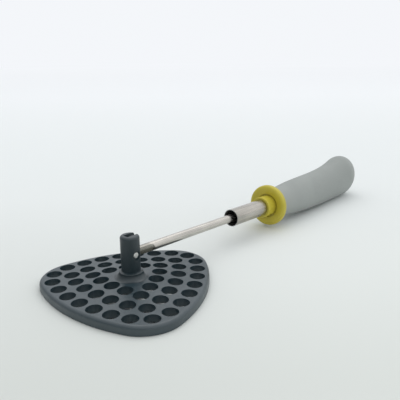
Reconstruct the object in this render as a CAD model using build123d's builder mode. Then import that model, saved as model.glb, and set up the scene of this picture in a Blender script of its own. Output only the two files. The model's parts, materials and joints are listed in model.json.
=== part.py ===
from build123d import *
import math
import os

# Potato masher whose head folds flat against its rod. Millimetres, +Z up.
# The origin is the middle of the post's foot, level with the lower edge of the plate.
# The rod lies folded along +X, above one corner of the plate.

# Plate: a triangle with bowed sides and rounded corners, crowned and hollow underneath
plate_corner_reach = 56.5
plate_corner_radius = 23.9
plate_side_radius = 103.0
plate_rim_height = 5.7
plate_crown_rise = 2.7
plate_crown_reach = 50.0
plate_top_round = 2.2
plate_foot_round = 0.6
plate_rim_wall = 2.2
plate_web_thickness = 4.8

# Mashing holes: rows that follow the outline, from the rim inwards
hole_diameter = 9.4
first_row_inset = 7.2
row_pitch = 11.5
outer_row_count = 24
holes_fewer_per_row = 6
row_total = 3
corner_total = 3

# Post whose foot fills the middle of the plate, with the ledge that the locking tube meets
post_diameter = 11.5
post_height = 34.3
post_top_round = 1.7
ledge_width = 1.5
ledge_height = 12.5
ledge_slope_height = 0.4
ledge_band_height = 0.5
ledge_edge_round = 0.4
skirt_spread = 2.9

# Hinge in the post
hinge_height = 22.8
hinge_pin_diameter = 3.6
pin_recess_margin = 1.0
pin_recess_depth = 1.0
pin_head_round = 0.4
pin_head_stand = 0.3
slot_side_clearance = 0.2
slot_end_clearance = 0.35
pin_running_clearance = 0.05

# Rod: round steel, milled flat into a tongue at the hinge
rod_diameter = 5.7
tongue_thickness = 3.4
tongue_length = 17.4
tongue_runout_radius = 3.0

# Locking tube round the rod, drawn back into the handle
tube_mouth_distance = 96.5
tube_fit_clearance = 0.05
tube_wall = 0.4
runner_length = 3.0
runner_wall = 0.8
runner_clearance = 0.05
runner_edge_round = 0.3

# Collar: the dished flange in front of the grip
collar_front_distance = 141.6
collar_thickness = 5.4
collar_diameter = 31.4
collar_rim_width = 2.9
collar_rim_round = 1.9
collar_dish_depth = 1.0

# Guide bush: the ring that the tube slides through, held in the collar
bush_wall = 1.65
bush_clearance = 0.05
bush_snout_length = 10.3
bush_front_round = 0.6
bush_collar_gap = 1.2
bush_shoulder_catch = 1.0
bush_shoulder_depth = 2.4
bush_shoulder_length = 2.6
friction_ring_section = 1.1
friction_ring_clearance = 0.05
groove_clearance = 0.1

# Handle core: the barrel that holds the tube when it is drawn back
core_wall = 1.0
core_rear_gap = 0.3
core_end_wall = 1.4

# Rod anchor, moulded into the grip, and its cross pin
anchor_length = 6.0
anchor_wall = 1.65
anchor_pin_diameter = 2.0

# Grip: round in front, flared and bent up behind, with a domed end that is taller than wide.
# Its height follows a curve from the front to the dome that the swell and waist radii steer.
grip_front_wall = 1.65
grip_swell_radius = 17.0
grip_waist_radius = 13.3
grip_end_radius = 18.15
grip_end_width_share = 0.78
grip_bend_length = 73.8
grip_bend_rise = 4.4
grip_dome_before_rod_end = 7.1
grip_dome_length = 19.5
grip_section_total = 24
grip_guard_shares = (1.2, 1.4)
grip_sample_total = 60

# Reach of cutting shapes past the faces that they cut
overrun = 2.0

# Plate geometry: each corner arc meets its two side arcs tangentially
third_turn = 360 / corner_total
half_third_turn = third_turn / 2
corner_centre = plate_corner_reach - plate_corner_radius
side_offset = (
    math.sqrt(4 * (plate_side_radius - plate_corner_radius) ** 2 - 3 * corner_centre**2)
    - corner_centre
) / 2
side_centre_x = -side_offset / 2
side_centre_y = -side_offset * math.sqrt(3) / 2
tangent_angle = math.degrees(math.atan2(-side_centre_y, corner_centre - side_centre_x))
plate_top = plate_rim_height + plate_crown_rise
crown_arc_radius = (plate_crown_reach**2 + plate_crown_rise**2) / (4 * plate_crown_rise)


def plate_height_at(radius):
    """Height of the crowned top within half of the crown's reach."""
    drop = crown_arc_radius - math.sqrt(crown_arc_radius**2 - radius**2)
    return plate_top - drop


def row_place(inset, third_share):
    """Point on a row inside the outline, at a share of the way between corners."""
    corner_arc = plate_corner_radius - inset
    side_arc = plate_side_radius - inset
    if corner_arc > 0:
        first_angle = math.radians(tangent_angle)
        corner_length = corner_arc * first_angle
    else:
        first_angle = math.asin(-side_centre_y / side_arc)
        corner_length = 0
    side_length = side_arc * (math.radians(half_third_turn) - first_angle)
    half_share = min(third_share, 1 - third_share)
    along = 2 * half_share * (corner_length + side_length)
    if along < corner_length:
        angle = along / corner_arc
        x = corner_centre + corner_arc * math.cos(angle)
        y = corner_arc * math.sin(angle)
    else:
        angle = first_angle + (along - corner_length) / side_arc
        x = side_centre_x + side_arc * math.cos(angle)
        y = side_centre_y + side_arc * math.sin(angle)
    direction = math.degrees(math.atan2(y, x))
    if third_share > half_share:
        direction = third_turn - direction
    return math.hypot(x, y), direction


def hole_centres():
    """Hole centres of every row, evenly spaced along the row."""
    centres = []
    for row in range(row_total):
        inset = first_row_inset + row * row_pitch
        per_third = (outer_row_count - row * holes_fewer_per_row) // corner_total
        for corner in range(corner_total):
            for step in range(per_third):
                reach, direction = row_place(inset, step / per_third)
                angle = math.radians(direction + corner * third_turn)
                centres.append((reach * math.cos(angle), reach * math.sin(angle)))
    return centres


# Post and hinge geometry
post_radius = post_diameter / 2
ledge_radius = post_radius + ledge_width
foot_radius = ledge_radius
skirt_radius = foot_radius + skirt_spread
pin_radius = hinge_pin_diameter / 2
pin_recess_radius = pin_radius + pin_recess_margin
rod_radius = rod_diameter / 2
tongue_half = tongue_thickness / 2
slot_width = tongue_thickness + 2 * slot_side_clearance
slot_reach = rod_radius + slot_end_clearance
slot_floor = hinge_height - slot_reach
hinge_point = Vector(0, 0, hinge_height)
tongue_cut_depth = rod_radius - tongue_half
tongue_runout = math.sqrt(tongue_runout_radius**2 - (tongue_runout_radius - tongue_cut_depth) ** 2)

# Radii of the pieces that fit round the post and the rod
tube_bore_radius = post_radius + tube_fit_clearance
tube_radius = tube_bore_radius + tube_wall
bush_bore_radius = tube_radius + bush_clearance
bush_radius = bush_bore_radius + bush_wall
collar_bore_radius = bush_radius + bush_collar_gap
bush_shoulder_radius = collar_bore_radius + bush_shoulder_catch
collar_radius = collar_diameter / 2
collar_dish_radius = collar_radius - collar_rim_width
runner_radius = tube_radius + runner_wall
core_bore_radius = runner_radius + runner_clearance
core_radius = core_bore_radius + core_wall
anchor_radius = rod_radius + anchor_wall
anchor_pin_radius = anchor_pin_diameter / 2
ring_section_radius = friction_ring_section / 2
ring_centre_radius = tube_radius + friction_ring_clearance + ring_section_radius
groove_half_width = ring_section_radius + groove_clearance
groove_radius = ring_centre_radius + groove_half_width

# Distances along the rod, from the hinge towards the grip
bush_shoulder_front = collar_front_distance + bush_shoulder_depth
bush_shoulder_rear = bush_shoulder_front + bush_shoulder_length
bush_front = bush_shoulder_front - bush_snout_length
ring_distance = (bush_shoulder_front + bush_shoulder_rear) / 2
collar_rear = collar_front_distance + collar_thickness
tube_travel = tube_mouth_distance + hinge_height - ledge_height
tube_rear = bush_shoulder_rear + tube_travel + runner_length
core_end_front = tube_rear + core_rear_gap
core_end_rear = core_end_front + core_end_wall
rod_end = core_end_rear + anchor_length
anchor_pin_distance = (core_end_rear + rod_end) / 2

# Grip axis: straight behind the collar, then bent upwards more and more as far as the dome
grip_front_radius = core_radius + grip_front_wall
grip_dome_start = rod_end - grip_dome_before_rod_end
grip_bend_start = grip_dome_start - grip_bend_length
grip_shaft_length = grip_dome_start - collar_rear

# Dome: part of an ellipse, set so that it goes on from the shaft's flare without a crease
grip_end_slope = 3 * (grip_end_radius - grip_waist_radius) / grip_shaft_length
dome_slope_share = grip_end_slope * grip_dome_length / grip_end_radius
dome_middle_share = 2 * dome_slope_share / (1 + math.sqrt(1 + 4 * dome_slope_share**2))
grip_dome_middle = dome_middle_share * grip_dome_length
grip_dome_radius = grip_end_radius / math.sqrt(1 - dome_middle_share**2)
grip_dome_reach = grip_dome_middle + grip_dome_length


def grip_place(share):
    """Distance, rise, angle and half height of the grip.

    Shares up to 1 lie along its shaft, and those from 1 to 2 along its dome.
    """
    on_shaft = min(share, 1)
    left = 1 - on_shaft
    distance = collar_rear + on_shaft * grip_shaft_length
    way = max(distance - grip_bend_start, 0) / grip_bend_length
    rise = grip_bend_rise * way**3
    angle = math.atan(3 * grip_bend_rise * way**2 / grip_bend_length)
    radius = grip_front_radius * left**3 + 3 * grip_swell_radius * left**2 * on_shaft
    radius += 3 * grip_waist_radius * left * on_shaft**2 + grip_end_radius * on_shaft**3
    in_dome = (share - on_shaft) * grip_dome_reach
    if in_dome > 0:
        radius = grip_dome_radius * math.sqrt(1 - ((in_dome - grip_dome_middle) / grip_dome_length) ** 2)
    return distance + in_dome * math.cos(angle), rise + in_dome * math.sin(angle), angle, radius


def touching_pitch(share):
    """Pitch of the rod, in degrees, at which the grip's underside there meets the ground."""
    distance, rise, angle, radius = grip_place(share)
    along = distance + radius * math.sin(angle)
    drop = radius * math.cos(angle) - rise
    lean = math.asin(hinge_height / math.hypot(along, drop)) - math.atan2(drop, along)
    return math.degrees(lean)


# The folded handle rests on the lowest part of its grip
sample_shares = [grip_guard_shares[0] * step / grip_sample_total for step in range(grip_sample_total + 1)]
rest_pitch = min(touching_pitch(share) for share in sample_shares)
rod_direction = Vector(1, 0, 0).rotate(Axis.Y, rest_pitch)
side_plane = Plane(origin=hinge_point, x_dir=rod_direction, z_dir=(0, -1, 0))
rod_axis = Axis(hinge_point, rod_direction)
rod_plan_plane = Plane(origin=hinge_point, x_dir=rod_direction, z_dir=side_plane.y_dir)


def rod_station(distance):
    """Plane square to the rod, at a distance from the hinge."""
    return Plane(origin=hinge_point + rod_direction * distance, x_dir=(0, 1, 0), z_dir=rod_direction)


def grip_section(share):
    """Plane, half height and half width of the grip at a share of its shaft or dome."""
    distance, rise, angle, radius = grip_place(share)
    normal = side_plane.x_dir * math.cos(angle) + side_plane.y_dir * math.sin(angle)
    upwards = side_plane.y_dir * math.cos(angle) - side_plane.x_dir * math.sin(angle)
    centre = side_plane.from_local_coords((distance, rise, 0))
    width_share = 1 - (1 - grip_end_width_share) * min(share, 1)
    return Plane(origin=centre, x_dir=upwards, z_dir=normal), radius, radius * width_share


def crowned_plate(inset, drop):
    """Solid with the plate's outline moved inwards and its crowned top lowered."""
    with BuildPart(mode=Mode.PRIVATE) as block:
        with BuildSketch(Plane.XY):
            with BuildLine():
                for corner in range(corner_total):
                    turn = corner * third_turn
                    tip_centre = Vector(corner_centre, 0).rotate(Axis.Z, turn)
                    bow_centre = Vector(side_centre_x, side_centre_y).rotate(Axis.Z, turn)
                    tip_start = turn - tangent_angle
                    bow_start = turn + tangent_angle
                    CenterArc(tip_centre, plate_corner_radius - inset, tip_start, 2 * tangent_angle)
                    CenterArc(bow_centre, plate_side_radius - inset, bow_start, third_turn - 2 * tangent_angle)
            make_face()
        extrude(amount=plate_top - drop)
        with BuildSketch(Plane.XZ):
            with BuildLine():
                crown_top = (0, plate_top - drop)
                crown_middle = (plate_crown_reach / 2, plate_top - plate_crown_rise / 2 - drop)
                crown_foot = (plate_crown_reach, plate_rim_height - drop)
                beyond = max(plate_corner_reach, plate_crown_reach) + overrun
                RadiusArc(crown_top, crown_middle, crown_arc_radius)
                RadiusArc(crown_middle, crown_foot, -crown_arc_radius)
                Polyline(
                    crown_foot,
                    (beyond, plate_rim_height - drop),
                    (beyond, plate_top + overrun),
                    (0, plate_top + overrun),
                    crown_top,
                )
            make_face()
        revolve(axis=Axis.Z, mode=Mode.SUBTRACT)
    return block.part


# Mashing plate: crowned, hollow underneath inside its rim, with a seat for the post's foot
with BuildPart() as mashing_plate:
    add(crowned_plate(0, 0))
    wall_edges = mashing_plate.faces().filter_by(GeomType.CYLINDER).edges()
    top_edges = wall_edges.filter_by(lambda edge: edge.bounding_box().min.Z > plate_rim_height / 2)
    fillet(top_edges, plate_top_round)
    wall_edges = mashing_plate.faces().filter_by(GeomType.CYLINDER).edges()
    bottom_edges = wall_edges.filter_by(lambda edge: edge.bounding_box().max.Z < plate_foot_round)
    fillet(bottom_edges, plate_foot_round)
    add(crowned_plate(plate_rim_wall, plate_web_thickness), mode=Mode.SUBTRACT)
    with BuildSketch(Plane.XY):
        Circle(foot_radius)
        with Locations(*hole_centres()):
            Circle(hole_diameter / 2)
    extrude(amount=plate_top + overrun, mode=Mode.SUBTRACT)
mashing_plate.part.label = "mashing_plate"


# Hinge post: foot, flared skirt on the plate, sloping ledge and slotted post
with BuildPart() as hinge_post:
    with BuildSketch(Plane.XZ):
        with BuildLine():
            skirt_edge = (skirt_radius, plate_height_at(skirt_radius))
            seat_edge = (foot_radius, plate_height_at(foot_radius))
            band_bottom = (ledge_radius, ledge_height - ledge_slope_height - ledge_band_height)
            TangentArc(band_bottom, skirt_edge, tangent=(0, -1))
            RadiusArc(skirt_edge, seat_edge, -crown_arc_radius)
            Polyline(
                seat_edge,
                (foot_radius, 0),
                (0, 0),
                (0, post_height),
                (post_radius, post_height),
                (post_radius, ledge_height),
                (ledge_radius, ledge_height - ledge_slope_height),
                band_bottom,
            )
        make_face()
    revolve(axis=Axis.Z)
    round_edges = hinge_post.edges().filter_by(GeomType.CIRCLE)
    fillet(round_edges.sort_by(Axis.Z)[-1], post_top_round)
    ledge_edges = hinge_post.edges().filter_by(GeomType.CIRCLE).filter_by(
        lambda edge: math.isclose(edge.radius, ledge_radius)
    )
    fillet(ledge_edges.sort_by(Axis.Z)[-1], ledge_edge_round)

    # The slot is open above and towards the folded rod, and closed behind
    with BuildSketch(Plane.XY.offset(slot_floor)):
        with Locations((-slot_reach, 0)):
            Rectangle(slot_reach + post_diameter, slot_width, align=(Align.MIN, Align.CENTER))
    extrude(amount=post_height, mode=Mode.SUBTRACT)

    # Bore of the hinge pin, sunk at both ends
    with BuildSketch(Plane.XZ):
        with Locations((0, hinge_height)):
            Circle(pin_radius)
    extrude(amount=post_diameter, both=True, mode=Mode.SUBTRACT)
    for side in (1, -1):
        with BuildSketch(Plane.XZ.offset(side * (post_radius - pin_recess_depth))):
            with Locations((0, hinge_height)):
                Circle(pin_recess_radius)
        extrude(amount=side * post_radius, mode=Mode.SUBTRACT)
hinge_post.part.label = "hinge_post"


# Hinge pin: a rivet whose ends lie sunk in the post
with BuildPart() as hinge_pin:
    with BuildSketch(Plane.XZ):
        with Locations((0, hinge_height)):
            Circle(pin_radius)
    extrude(amount=post_radius - pin_recess_depth + pin_head_stand, both=True)
    fillet(hinge_pin.edges().filter_by(GeomType.CIRCLE), pin_head_round)
hinge_pin.part.label = "hinge_pin"


# Inner rod: milled flat into a tongue, rounded about the pin
with BuildPart() as inner_rod:
    with BuildSketch(rod_station(-rod_radius)):
        Circle(rod_radius)
    extrude(amount=rod_radius + rod_end)
    with BuildSketch(side_plane):
        Circle(rod_radius)
        Rectangle(rod_end, rod_diameter, align=(Align.MIN, Align.CENTER))
    extrude(amount=rod_radius, both=True, mode=Mode.INTERSECT)
    with BuildSketch(rod_plan_plane):
        for side in (1, -1):
            with Locations((tongue_length - tongue_runout, side * (tongue_half + tongue_runout_radius))):
                Circle(tongue_runout_radius)
                Rectangle(tongue_length + rod_radius, 2 * tongue_runout_radius, align=(Align.MAX, Align.CENTER))
    extrude(amount=rod_radius, both=True, mode=Mode.SUBTRACT)
    with BuildSketch(side_plane):
        Circle(pin_radius + pin_running_clearance)
        with Locations((anchor_pin_distance, 0)):
            Circle(anchor_pin_radius)
    extrude(amount=rod_radius, both=True, mode=Mode.SUBTRACT)
inner_rod.part.label = "inner_rod"


# Locking tube: slides down the rod and over the post
with BuildPart() as locking_tube:
    with BuildSketch(rod_station(tube_mouth_distance)):
        Circle(tube_radius)
        Circle(tube_bore_radius, mode=Mode.SUBTRACT)
    extrude(amount=tube_rear - tube_mouth_distance)
locking_tube.part.label = "locking_tube"


# Tail runner: the ring on the tube's rear end that guides and stops it
with BuildPart() as tail_runner:
    with BuildSketch(rod_station(tube_rear - runner_length)):
        Circle(runner_radius)
        Circle(tube_radius, mode=Mode.SUBTRACT)
    extrude(amount=runner_length)
    outer_edges = tail_runner.edges().filter_by(GeomType.CIRCLE).sort_by(lambda edge: edge.radius)
    fillet(outer_edges[-2:], runner_edge_round)
tail_runner.part.label = "tail_runner"


# Guide bush: a snout with a shoulder that the collar holds
with BuildPart() as guide_bush:
    with BuildSketch(side_plane):
        with BuildLine():
            Polyline(
                (bush_front, bush_bore_radius),
                (bush_front, bush_radius),
                (bush_shoulder_front, bush_radius),
                (bush_shoulder_front, bush_shoulder_radius),
                (bush_shoulder_rear, bush_shoulder_radius),
                (bush_shoulder_rear, bush_bore_radius),
                close=True,
            )
        make_face()
    revolve(axis=rod_axis)
    front_edges = guide_bush.edges().filter_by(GeomType.CIRCLE).sort_by(rod_axis)
    snout_edge = front_edges.filter_by(lambda edge: math.isclose(edge.radius, bush_radius))[0]
    fillet(snout_edge, bush_front_round)
    with BuildSketch(side_plane):
        with Locations((ring_distance, 0)):
            Rectangle(2 * groove_half_width, groove_radius, align=(Align.CENTER, Align.MIN))
    revolve(axis=rod_axis, mode=Mode.SUBTRACT)
guide_bush.part.label = "guide_bush"


# Friction ring: holds the tube where it is pushed
with BuildPart() as friction_ring:
    with BuildSketch(side_plane):
        with Locations((ring_distance, ring_centre_radius)):
            Circle(ring_section_radius)
    revolve(axis=rod_axis)
friction_ring.part.label = "friction_ring"


# Collar: the dished flange in front of the grip, stepped to hold the bush
with BuildPart() as collar_flange:
    with BuildSketch(side_plane):
        with BuildLine():
            Polyline(
                (collar_front_distance + collar_dish_depth, collar_bore_radius),
                (collar_front_distance, collar_dish_radius),
                (collar_front_distance, collar_radius),
                (collar_rear, collar_radius),
                (collar_rear, bush_shoulder_radius),
                (bush_shoulder_front, bush_shoulder_radius),
                (bush_shoulder_front, collar_bore_radius),
                close=True,
            )
        make_face()
    revolve(axis=rod_axis)
    rim_circles = collar_flange.edges().filter_by(GeomType.CIRCLE).filter_by(
        lambda edge: math.isclose(edge.radius, collar_radius)
    )
    fillet(rim_circles, collar_rim_round)
collar_flange.part.label = "collar_flange"


# Handle core: barrel closed at its rear by a wall that the rod passes through
with BuildPart() as handle_core:
    with BuildSketch(rod_station(bush_shoulder_rear)):
        Circle(core_radius)
    extrude(amount=core_end_rear - bush_shoulder_rear)
    with BuildSketch(rod_station(bush_shoulder_rear)):
        Circle(core_bore_radius)
    extrude(amount=core_end_front - bush_shoulder_rear, mode=Mode.SUBTRACT)
    with BuildSketch(rod_station(bush_shoulder_rear)):
        Circle(rod_radius)
    extrude(amount=core_end_rear - bush_shoulder_rear, mode=Mode.SUBTRACT)
handle_core.part.label = "handle_core"


# Rod anchor: a steel sleeve on the rod's rear end
with BuildPart() as rod_anchor:
    with BuildSketch(rod_station(core_end_rear)):
        Circle(anchor_radius)
        Circle(rod_radius, mode=Mode.SUBTRACT)
    extrude(amount=anchor_length)
    with BuildSketch(side_plane):
        with Locations((anchor_pin_distance, 0)):
            Circle(anchor_pin_radius)
    extrude(amount=anchor_radius, both=True, mode=Mode.SUBTRACT)
rod_anchor.part.label = "rod_anchor"

# Anchor pin: crosses the anchor and the rod
with BuildPart() as anchor_pin:
    with BuildSketch(side_plane):
        with Locations((anchor_pin_distance, 0)):
            Circle(anchor_pin_radius)
    extrude(amount=anchor_radius, both=True)
    with BuildSketch(rod_station(core_end_rear)):
        Circle(anchor_radius)
    extrude(amount=anchor_length, mode=Mode.INTERSECT)
anchor_pin.part.label = "anchor_pin"


# Grip: a widening shaft, a bend and a domed end, with the core and anchor inside.
# The loft runs on into the dome and is cut back, so that the two meet smoothly.
with BuildPart() as grip_shell:
    shaft_shares = [step / grip_section_total for step in range(grip_section_total + 1)]
    for share in (*shaft_shares, *grip_guard_shares):
        section_plane, half_height, half_width = grip_section(share)
        with BuildSketch(section_plane):
            Ellipse(half_height, half_width)
    loft()
    dome_plane = grip_section(1)[0]
    split(bisect_by=dome_plane, keep=Keep.BOTTOM)
    dome_side = Plane(origin=dome_plane.origin, x_dir=dome_plane.z_dir, z_dir=(0, -1, 0))
    with BuildPart(mode=Mode.PRIVATE) as round_dome:
        with BuildSketch(dome_side):
            with Locations((grip_dome_middle, 0)):
                Ellipse(grip_dome_length, grip_dome_radius)
            Rectangle(grip_dome_reach, grip_dome_radius, align=(Align.MIN, Align.MIN), mode=Mode.INTERSECT)
        revolve(axis=Axis(dome_plane.origin, dome_plane.z_dir))
    add(scale(round_dome.part, by=(1, grip_end_width_share, 1), mode=Mode.PRIVATE))
    with BuildSketch(rod_station(collar_rear)):
        Circle(core_radius)
    extrude(amount=core_end_rear - collar_rear, mode=Mode.SUBTRACT)
    with BuildSketch(rod_station(core_end_rear)):
        Circle(anchor_radius)
    extrude(amount=anchor_length, mode=Mode.SUBTRACT)
grip_shell.part.label = "grip_shell"


pieces = (
    mashing_plate,
    hinge_post,
    hinge_pin,
    inner_rod,
    locking_tube,
    tail_runner,
    guide_bush,
    friction_ring,
    collar_flange,
    handle_core,
    rod_anchor,
    anchor_pin,
    grip_shell,
)
os.makedirs("parts", exist_ok=True)
for piece in pieces:
    export_step(piece.part, f"parts/{piece.part.label}.step")
print("rest pitch", round(rest_pitch, 4))
print("tube travel", round(tube_travel, 3), "tube length", round(tube_rear - tube_mouth_distance, 3))
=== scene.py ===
import json
import math

import bpy
from mathutils import Matrix, Vector

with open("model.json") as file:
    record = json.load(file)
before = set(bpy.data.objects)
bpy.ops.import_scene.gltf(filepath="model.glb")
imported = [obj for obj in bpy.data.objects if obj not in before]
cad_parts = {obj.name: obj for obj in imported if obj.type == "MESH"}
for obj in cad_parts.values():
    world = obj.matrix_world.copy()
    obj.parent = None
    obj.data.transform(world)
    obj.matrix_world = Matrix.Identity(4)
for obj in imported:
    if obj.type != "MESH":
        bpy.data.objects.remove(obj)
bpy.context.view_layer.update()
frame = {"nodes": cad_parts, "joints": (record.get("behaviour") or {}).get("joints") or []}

# Lengths are in metres, unless a name says otherwise.

# Camera of the photograph
CAMERA_PLACE = Vector((-0.1953, -0.22354, 0.14337))
CAMERA_RIGHT = Vector((0.6526, -0.7576, -0.0093))
CAMERA_DOWN = Vector((-0.2238, -0.1811, -0.9577))
CAMERA_LENS_MM = 48.59
SENSOR_WIDTH_MM = 36.0
CLIP_NEAR = 0.01
CLIP_FAR = 100.0

# Rod axis of the folded masher
JOINTS = {joint["name"]: joint for joint in frame["joints"]}
HINGE_POINT = Vector(JOINTS["head_fold"]["pos_m"])
ROD_DIRECTION = -Vector(JOINTS["tube_slide"]["axis"]).normalized()
ROD_PITCH = math.asin(-ROD_DIRECTION.z)

# Base colours. A pair holds the two shades that a material's noise moves between.
PLATE_SHADES = ((0.0086, 0.0268, 0.0370), (0.0138, 0.0332, 0.0445))
# The post has the plate's plastic with painted shade: its shades are darker than the plate's.
POST_PAINTED_SHADE_TONES = ((0.0054, 0.0180, 0.0245), (0.0100, 0.0235, 0.0310))
ROD_SHADES = ((0.44, 0.42, 0.39), (0.58, 0.555, 0.51))
TUBE_SHADES = ((0.40, 0.38, 0.345), (0.52, 0.49, 0.445))
PIN_SHADES = ((0.70, 0.70, 0.68), (0.80, 0.80, 0.78))
GREEN_SHADES = ((0.488, 0.416, 0.036), (0.540, 0.456, 0.045))
GRIP_SHADES = ((0.308, 0.328, 0.315), (0.343, 0.362, 0.349))
CORE_SHADES = ((0.09, 0.10, 0.10), (0.12, 0.13, 0.13))
SEAL_SHADES = ((0.015, 0.015, 0.015), (0.03, 0.03, 0.03))
DUST_COLOUR = (0.16, 0.17, 0.17)
BORE_COLOUR = (0.40, 0.40, 0.39)
# Dark olive painted shade for the rod's shoulder
SHOULDER_SHADE_COLOUR = (0.060, 0.058, 0.044)

# Parts of a noise's output that a material spreads over its whole range
BROAD_BAND = (0.35, 0.65)
FINE_BAND = (0.3, 0.7)
STEEL_BAND = (0.38, 0.62)
RISING = (0.0, 1.0)
FALLING = (1.0, 0.0)

# Dust on the head: the edge of a speck as a share of its cell, the part of a noise
# that keeps specks, and how plain they are
SPECK_RADIUS = (0.028, 0.052)
SPECK_KEPT = (0.58, 0.62)
DUST_SHARE = 0.35

# Steel: streaks are drawn out along the rod, and mixed with broader patches
STREAK_STRETCH = 0.02
STREAK_SHARE = 0.6
PATCH_SHARE = 0.4

# Dull steel inside the tube and on its front end, by distance from the rod's axis
# and from the hinge
BORE_RADIUS = 0.00590
BORE_FADE = 0.00012
MOUTH_DISTANCE = 0.0965
MOUTH_FADE = 0.0003
BORE_ROUGHNESS = 0.25

# Painted shade on the rod's shoulder, in dark olive. It ends on a slant and is stronger below the
# axis.
SHOULDER_SHADE_END = (0.0158, 0.0188)
SHOULDER_SHADE_HEIGHT = (-0.0008, 0.0014)
SHOULDER_SHADE_SHARE = (0.90, 0.42)

# Floor and backdrop. The floor's Y axis points away from the camera, from below it.
FLOOR_NEAR = -3.0
FLOOR_FAR = 4.0
FLOOR_HALF_WIDTH = 4.0
FLOOR_DROP = 0.00005
BACKDROP_RADIUS = 1.5
BACKDROP_HEIGHT = 5.0
CURVE_STEPS = 16

# Floor colours with painted light falloff, darker near the camera, at shares of a length away from
# the camera
FLOOR_STOPS_LENGTH = 2.0
FLOOR_STOPS = (
    (0.0, (0.630, 0.655, 0.612)),
    (0.1, (0.670, 0.693, 0.665)),
    (0.15, (0.728, 0.752, 0.732)),
    (0.24, (0.800, 0.824, 0.818)),
    (0.3, (0.812, 0.838, 0.836)),
    (0.7, (0.878, 0.893, 0.908)),
)

# Painted light: near the camera the floor gets lighter from left to right
SIDE_REACH = (-0.08, 0.10)
SIDE_PAINTED_LIGHT = (-0.015, 0.045)
NEAR_REACH = (0.30, 0.50)

# Far off, the backdrop shows as an even pale tone
GLOW_REACH = (0.9, 3.0)
GLOW_COLOUR = (0.905, 0.925, 0.955)

# Sky of a light tent, brightest above, behind and to the right of the object
SKY_COLOUR = (0.965, 0.985, 1.0)
SKY_FACING = (-0.5, 1.0)
SKY_STRENGTH = (0.28, 1.16)
BRIGHT_UP = 0.90
BRIGHT_AWAY = 0.20
BRIGHT_RIGHT = 0.32

# Soft light overhead
LIGHT_PLACE = Vector((1.20, 0.70, 2.50))
LIGHT_AIM = Vector((0.12, 0.0, 0.0))
LIGHT_SIZE = 2.4
LIGHT_WATTS = 12.5
LIGHT_COLOUR = (1.0, 0.99, 0.97)

# Sockets of a Mix node that mixes colours
MIX_FACTOR, MIX_FIRST, MIX_SECOND = 0, 6, 7
MIX_RESULT = 2


def opaque(colour):
    """A plain colour with full alpha. A socket stays as it is."""
    return colour if isinstance(colour, bpy.types.NodeSocket) else (*colour, 1.0)


class Tree:
    """Adds nodes to a node tree. An input is a plain value or another node's socket."""

    def __init__(self, tree):
        self.tree = tree
        self.tree.nodes.clear()

    def node(self, kind, inputs=None, **settings):
        made = self.tree.nodes.new(kind)
        for name, value in settings.items():
            setattr(made, name, value)
        for name, value in (inputs or {}).items():
            socket = made.inputs[name]
            if isinstance(value, bpy.types.NodeSocket):
                self.tree.links.new(value, socket)
            else:
                socket.default_value = value
        return made

    def surface(self, kind, inputs, output="ShaderNodeOutputMaterial"):
        """A shader and the output that it goes to."""
        self.node(output, {"Surface": self.node(kind, inputs).outputs[0]})

    def math(self, operation, *values):
        return self.node("ShaderNodeMath", dict(enumerate(values)), operation=operation).outputs[0]

    def product(self, first, *others):
        for other in others:
            first = self.math("MULTIPLY", first, other)
        return first

    def between(self, value, span, result=RISING):
        """Moves a value's span smoothly to the span of the result."""
        inputs = {"Value": value, "From Min": span[0], "From Max": span[1]}
        inputs.update({"To Min": result[0], "To Max": result[1]})
        made = self.node("ShaderNodeMapRange", inputs, interpolation_type="SMOOTHSTEP")
        return made.outputs["Result"]

    def mix(self, factor, first, second):
        made = self.node(
            "ShaderNodeMix",
            {MIX_FACTOR: factor, MIX_FIRST: opaque(first), MIX_SECOND: opaque(second)},
            data_type="RGBA",
        )
        return made.outputs[MIX_RESULT]

    def noise(self, place, scale, detail=3.0, roughness=0.55):
        made = self.node(
            "ShaderNodeTexNoise",
            {"Vector": place, "Scale": scale, "Detail": detail, "Roughness": roughness},
        )
        return made.outputs["Fac"]

    def bump(self, height, distance, strength=1.0, normal=None):
        inputs = {"Height": height, "Distance": distance, "Strength": strength}
        if normal is not None:
            inputs["Normal"] = normal
        return self.node("ShaderNodeBump", inputs).outputs["Normal"]

    def apart(self, place):
        """The X, Y and Z of a place."""
        return self.node("ShaderNodeSeparateXYZ", {"Vector": place}).outputs


def new_material(name):
    """A material, its empty tree and its object coordinates."""
    material = bpy.data.materials.new(name)
    material.use_nodes = True
    tree = Tree(material.node_tree)
    return material, tree, tree.node("ShaderNodeTexCoord").outputs["Object"]


def along_rod(tree, place):
    """Coordinates with X along the rod, from the hinge."""
    moved = tree.node(
        "ShaderNodeMapping",
        {"Vector": place, "Location": tuple(-HINGE_POINT)},
        vector_type="POINT",
    )
    turned = tree.node(
        "ShaderNodeVectorRotate",
        {"Vector": moved.outputs["Vector"], "Angle": -ROD_PITCH, "Axis": (0.0, 1.0, 0.0)},
        rotation_type="AXIS_ANGLE",
    )
    return turned.outputs["Vector"]


def dusty(tree, place, colour):
    """The colour with a few light specks."""
    cells = tree.node(
        "ShaderNodeTexVoronoi",
        {"Vector": place, "Scale": 115.0, "Randomness": 1.0},
        feature="F1",
    )
    speck = tree.between(cells.outputs["Distance"], SPECK_RADIUS, FALLING)
    kept = tree.between(tree.noise(place, scale=47.0, detail=0.0), SPECK_KEPT)
    return tree.mix(tree.product(speck, kept, DUST_SHARE), colour, DUST_COLOUR)


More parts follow.
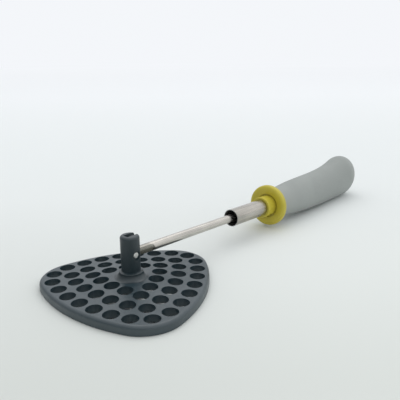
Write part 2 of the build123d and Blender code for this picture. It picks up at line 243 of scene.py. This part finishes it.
def head_material(name, shades, refraction):
    """Satin glass-filled plastic, dark slate grey."""
    material, tree, place = new_material(name)
    broad = tree.noise(place, scale=28.0, detail=2.0)
    grain = tree.noise(place, scale=2600.0, detail=2.0)
    cloud = tree.noise(place, scale=260.0)
    colour = dusty(tree, place, tree.mix(tree.between(broad, BROAD_BAND), *shades))
    normal = tree.bump(grain, distance=0.00004)
    normal = tree.bump(cloud, distance=0.00010, strength=0.6, normal=normal)
    tree.surface(
        "ShaderNodeBsdfPrincipled",
        {
            "Base Color": colour,
            "Roughness": tree.between(cloud, FINE_BAND, (0.34, 0.44)),
            "Normal": normal,
            "IOR": refraction,
        },
    )
    return material


def dull_bore(tree, rod_place, colour, roughness):
    """Colour and roughness, changed inside the tube and on its front end."""
    apart = tree.apart(rod_place)
    squares = [tree.math("POWER", apart[axis], 2.0) for axis in "YZ"]
    off_axis = tree.math("SQRT", tree.math("ADD", *squares))
    inside = tree.between(off_axis, (BORE_RADIUS, BORE_RADIUS + BORE_FADE), FALLING)
    mouth_span = (MOUTH_DISTANCE, MOUTH_DISTANCE + MOUTH_FADE)
    mouth = tree.between(apart["X"], mouth_span, FALLING)
    dull = tree.math("MAXIMUM", inside, mouth)
    colour = tree.mix(dull, colour, BORE_COLOUR)
    return colour, tree.math("ADD", roughness, tree.product(dull, BORE_ROUGHNESS))


def painted_shoulder_shade(tree, rod_place, colour):
    """The colour with a dark olive painted shade near the hinge."""
    apart = tree.apart(rod_place)
    slanting = tree.math("ADD", apart["X"], apart["Z"])
    low_side = tree.between(apart["Z"], SHOULDER_SHADE_HEIGHT, SHOULDER_SHADE_SHARE)
    painted_shade = tree.product(low_side, tree.between(slanting, SHOULDER_SHADE_END, FALLING))
    return tree.mix(painted_shade, colour, SHOULDER_SHADE_COLOUR)


def steel_material(name, shades, streak_scale, rough_span, has_bore=False, has_painted_shade=False):
    """Drawn stainless steel with fine streaks along its length."""
    material, tree, place = new_material(name)
    rod_place = along_rod(tree, place)
    stretch = (streak_scale * STREAK_STRETCH, streak_scale, streak_scale)
    stretched = tree.node(
        "ShaderNodeMapping",
        {"Vector": rod_place, "Scale": stretch},
        vector_type="POINT",
    ).outputs["Vector"]
    streaks = tree.noise(stretched, scale=1.0, roughness=0.6)
    patches = tree.noise(place, scale=55.0)
    shares = tree.product(streaks, STREAK_SHARE), tree.product(patches, PATCH_SHARE)
    tone = tree.between(tree.math("ADD", *shares), STEEL_BAND)
    colour = tree.mix(tone, *shades)
    roughness = tree.between(streaks, FINE_BAND, rough_span)
    if has_bore:
        colour, roughness = dull_bore(tree, rod_place, colour, roughness)
    # Painted shade on the rod's shoulder
    if has_painted_shade:
        colour = painted_shoulder_shade(tree, rod_place, colour)
    tree.surface(
        "ShaderNodeBsdfPrincipled",
        {
            "Base Color": colour,
            "Roughness": roughness,
            "Normal": tree.bump(streaks, distance=0.00002, strength=0.5),
            "Metallic": 1.0,
        },
    )
    return material


def green_material():
    """Satin olive-yellow plastic."""
    material, tree, place = new_material("green_plastic_look")
    broad = tree.noise(place, scale=60.0, detail=2.0)
    fine = tree.noise(place, scale=900.0, detail=2.0)
    tree.surface(
        "ShaderNodeBsdfPrincipled",
        {
            "Base Color": tree.mix(tree.between(broad, BROAD_BAND), *GREEN_SHADES),
            "Roughness": tree.between(fine, FINE_BAND, (0.38, 0.48)),
            "Normal": tree.bump(fine, distance=0.00003, strength=0.5),
        },
    )
    return material


def grip_material():
    """Soft grey grip with a fine spark-eroded grain."""
    material, tree, place = new_material("grip_plastic_look")
    broad = tree.noise(place, scale=22.0, detail=2.0)
    cloud = tree.noise(place, scale=330.0)
    grain = tree.noise(place, scale=2200.0, detail=2.0)
    normal = tree.bump(grain, distance=0.00004)
    normal = tree.bump(cloud, distance=0.00006, strength=0.5, normal=normal)
    tree.surface(
        "ShaderNodeBsdfPrincipled",
        {
            "Base Color": tree.mix(tree.between(broad, BROAD_BAND), *GRIP_SHADES),
            "Roughness": tree.between(cloud, FINE_BAND, (0.56, 0.66)),
            "Normal": normal,
        },
    )
    return material


def inner_material(name, shades, rough_span):
    """Moulded plastic or rubber for the pieces inside the handle."""
    material, tree, place = new_material(name)
    broad = tree.noise(place, scale=120.0, detail=2.0)
    grain = tree.noise(place, scale=1800.0, detail=2.0)
    tree.surface(
        "ShaderNodeBsdfPrincipled",
        {
            "Base Color": tree.mix(broad, *shades),
            "Roughness": tree.between(grain, FINE_BAND, rough_span),
            "Normal": tree.bump(grain, distance=0.00003, strength=0.5),
        },
    )
    return material


# The rod gets a painted shade on its shoulder.
rod_steel = steel_material(
    "rod_steel_look", ROD_SHADES, streak_scale=900.0, rough_span=(0.20, 0.30), has_painted_shade=True
)
tube_steel = steel_material(
    "tube_steel_look", TUBE_SHADES, streak_scale=700.0, rough_span=(0.16, 0.26), has_bore=True
)
pin_steel = steel_material(
    "pin_steel_look", PIN_SHADES, streak_scale=600.0, rough_span=(0.25, 0.35)
)
green_plastic = green_material()
core_plastic = inner_material("core_plastic_look", CORE_SHADES, rough_span=(0.45, 0.6))
LOOKS = {
    "mashing_plate": head_material("plate_plastic_look", PLATE_SHADES, refraction=1.80),
    # The post's darker shades are painted shade.
    "hinge_post": head_material("post_plastic_painted_shade_look", POST_PAINTED_SHADE_TONES, refraction=1.64),
    "hinge_pin": pin_steel,
    "inner_rod": rod_steel,
    "locking_tube": tube_steel,
    "tail_runner": core_plastic,
    "guide_bush": green_plastic,
    "friction_ring": inner_material("seal_rubber_look", SEAL_SHADES, rough_span=(0.7, 0.85)),
    "collar_flange": green_plastic,
    "handle_core": core_plastic,
    "rod_anchor": rod_steel,
    "anchor_pin": pin_steel,
    "grip_shell": grip_material(),
}
for node, look in LOOKS.items():
    for slot in frame["nodes"][node].material_slots:
        slot.material = look


def add_object(name, data):
    made = bpy.data.objects.new(name, data)
    bpy.context.scene.collection.objects.link(made)
    return made


# Camera
camera_data = bpy.data.cameras.new("photo_camera")
camera_data.lens = CAMERA_LENS_MM
camera_data.sensor_width = SENSOR_WIDTH_MM
camera_data.clip_start = CLIP_NEAR
camera_data.clip_end = CLIP_FAR
camera = add_object("photo_camera", camera_data)
camera_right = CAMERA_RIGHT.normalized()
camera_up = -(CAMERA_DOWN - CAMERA_DOWN.dot(camera_right) * camera_right).normalized()
camera_back = camera_right.cross(camera_up)
turn = Matrix((camera_right, camera_up, camera_back)).transposed()
camera.matrix_world = Matrix.Translation(CAMERA_PLACE) @ turn.to_4x4()
bpy.context.scene.camera = camera
away_level = Vector((-camera_back.x, -camera_back.y, 0.0)).normalized()
right_level = Vector((camera_right.x, camera_right.y, 0.0)).normalized()


# Floor that curves up into a backdrop
profile = [(FLOOR_NEAR, 0.0), (FLOOR_FAR, 0.0)]
for step in range(1, CURVE_STEPS + 1):
    angle = math.radians(90) * step / CURVE_STEPS
    along = FLOOR_FAR + BACKDROP_RADIUS * math.sin(angle)
    profile.append((along, BACKDROP_RADIUS * (1 - math.cos(angle))))
profile.append((FLOOR_FAR + BACKDROP_RADIUS, BACKDROP_HEIGHT))
floor_vertices = [
    (side, along, height)
    for along, height in profile
    for side in (-FLOOR_HALF_WIDTH, FLOOR_HALF_WIDTH)
]
floor_faces = [(2 * i, 2 * i + 1, 2 * i + 3, 2 * i + 2) for i in range(len(profile) - 1)]
floor_mesh = bpy.data.meshes.new("studio_floor")
floor_mesh.from_pydata(floor_vertices, [], floor_faces)
floor_mesh.polygons.foreach_set("use_smooth", [True] * len(floor_mesh.polygons))
floor = add_object("studio_floor", floor_mesh)
floor.location = (CAMERA_PLACE.x, CAMERA_PLACE.y, -FLOOR_DROP)
floor.rotation_euler = (0.0, 0.0, math.atan2(away_level.y, away_level.x) - math.pi / 2)


def floor_material():
    """Pale matt floor with painted light falloff, from darker near the camera to paler far off."""
    material, tree, place = new_material("studio_floor_look")
    apart = tree.apart(place)
    stop_place = tree.math("DIVIDE", apart["Y"], FLOOR_STOPS_LENGTH)
    ramp = tree.node("ShaderNodeValToRGB", {"Fac": stop_place})
    elements = ramp.color_ramp.elements
    for element, (position, tone) in zip(elements, (FLOOR_STOPS[0], FLOOR_STOPS[-1])):
        element.position = position
        element.color = opaque(tone)
    for position, tone in FLOOR_STOPS[1:-1]:
        elements.new(position).color = opaque(tone)
    # Painted light: lighter to the right near the camera
    sideways = tree.between(apart["X"], SIDE_REACH, SIDE_PAINTED_LIGHT)
    close_by = tree.between(apart["Y"], NEAR_REACH, FALLING)
    painted_light = tree.math("ADD", tree.product(sideways, close_by), 1.0)
    painted_falloff = tree.node(
        "ShaderNodeVectorMath",
        {0: ramp.outputs["Color"], "Scale": painted_light},
        operation="SCALE",
    )
    mottle = tree.noise(place, scale=40.0)
    matt = tree.node(
        "ShaderNodeBsdfPrincipled",
        {
            "Base Color": painted_falloff.outputs["Vector"],
            "Roughness": 0.8,
            "Specular IOR Level": 0.2,
            "Normal": tree.bump(mottle, distance=0.0002, strength=0.2),
        },
    )
    glow = tree.node("ShaderNodeEmission", {"Color": opaque(GLOW_COLOUR), "Strength": 1.0})
    rays = tree.node("ShaderNodeLightPath").outputs
    seen = tree.math("MAXIMUM", rays["Is Camera Ray"], rays["Is Glossy Ray"])
    seen = tree.math("MAXIMUM", seen, rays["Is Transmission Ray"])
    far_off = tree.between(apart["Y"], GLOW_REACH)
    tree.surface(
        "ShaderNodeMixShader",
        {
            0: tree.product(seen, far_off),
            1: matt.outputs["BSDF"],
            2: glow.outputs["Emission"],
        },
    )
    return material


floor_mesh.materials.append(floor_material())


# Sky
world = bpy.data.worlds.new("studio_world")
bpy.context.scene.world = world
world.use_nodes = True
sky = Tree(world.node_tree)
sky_place = sky.node("ShaderNodeTexCoord").outputs["Generated"]
bright_way = Vector((0.0, 0.0, 1.0)) * BRIGHT_UP
bright_way += away_level * BRIGHT_AWAY + right_level * BRIGHT_RIGHT
facing = sky.node(
    "ShaderNodeVectorMath",
    {0: sky_place, 1: tuple(bright_way.normalized())},
    operation="DOT_PRODUCT",
).outputs["Value"]
sky.surface(
    "ShaderNodeBackground",
    {"Color": opaque(SKY_COLOUR), "Strength": sky.between(facing, SKY_FACING, SKY_STRENGTH)},
    output="ShaderNodeOutputWorld",
)


# Soft light overhead
light_data = bpy.data.lights.new("overhead_soft", "AREA")
light_data.shape = "SQUARE"
light_data.size = LIGHT_SIZE
light_data.energy = LIGHT_WATTS
light_data.color = LIGHT_COLOUR
light = add_object("overhead_soft", light_data)
light.location = LIGHT_PLACE
light.rotation_euler = (LIGHT_AIM - LIGHT_PLACE).to_track_quat("-Z", "Y").to_euler()

bpy.context.scene.view_settings.view_transform = "Standard"
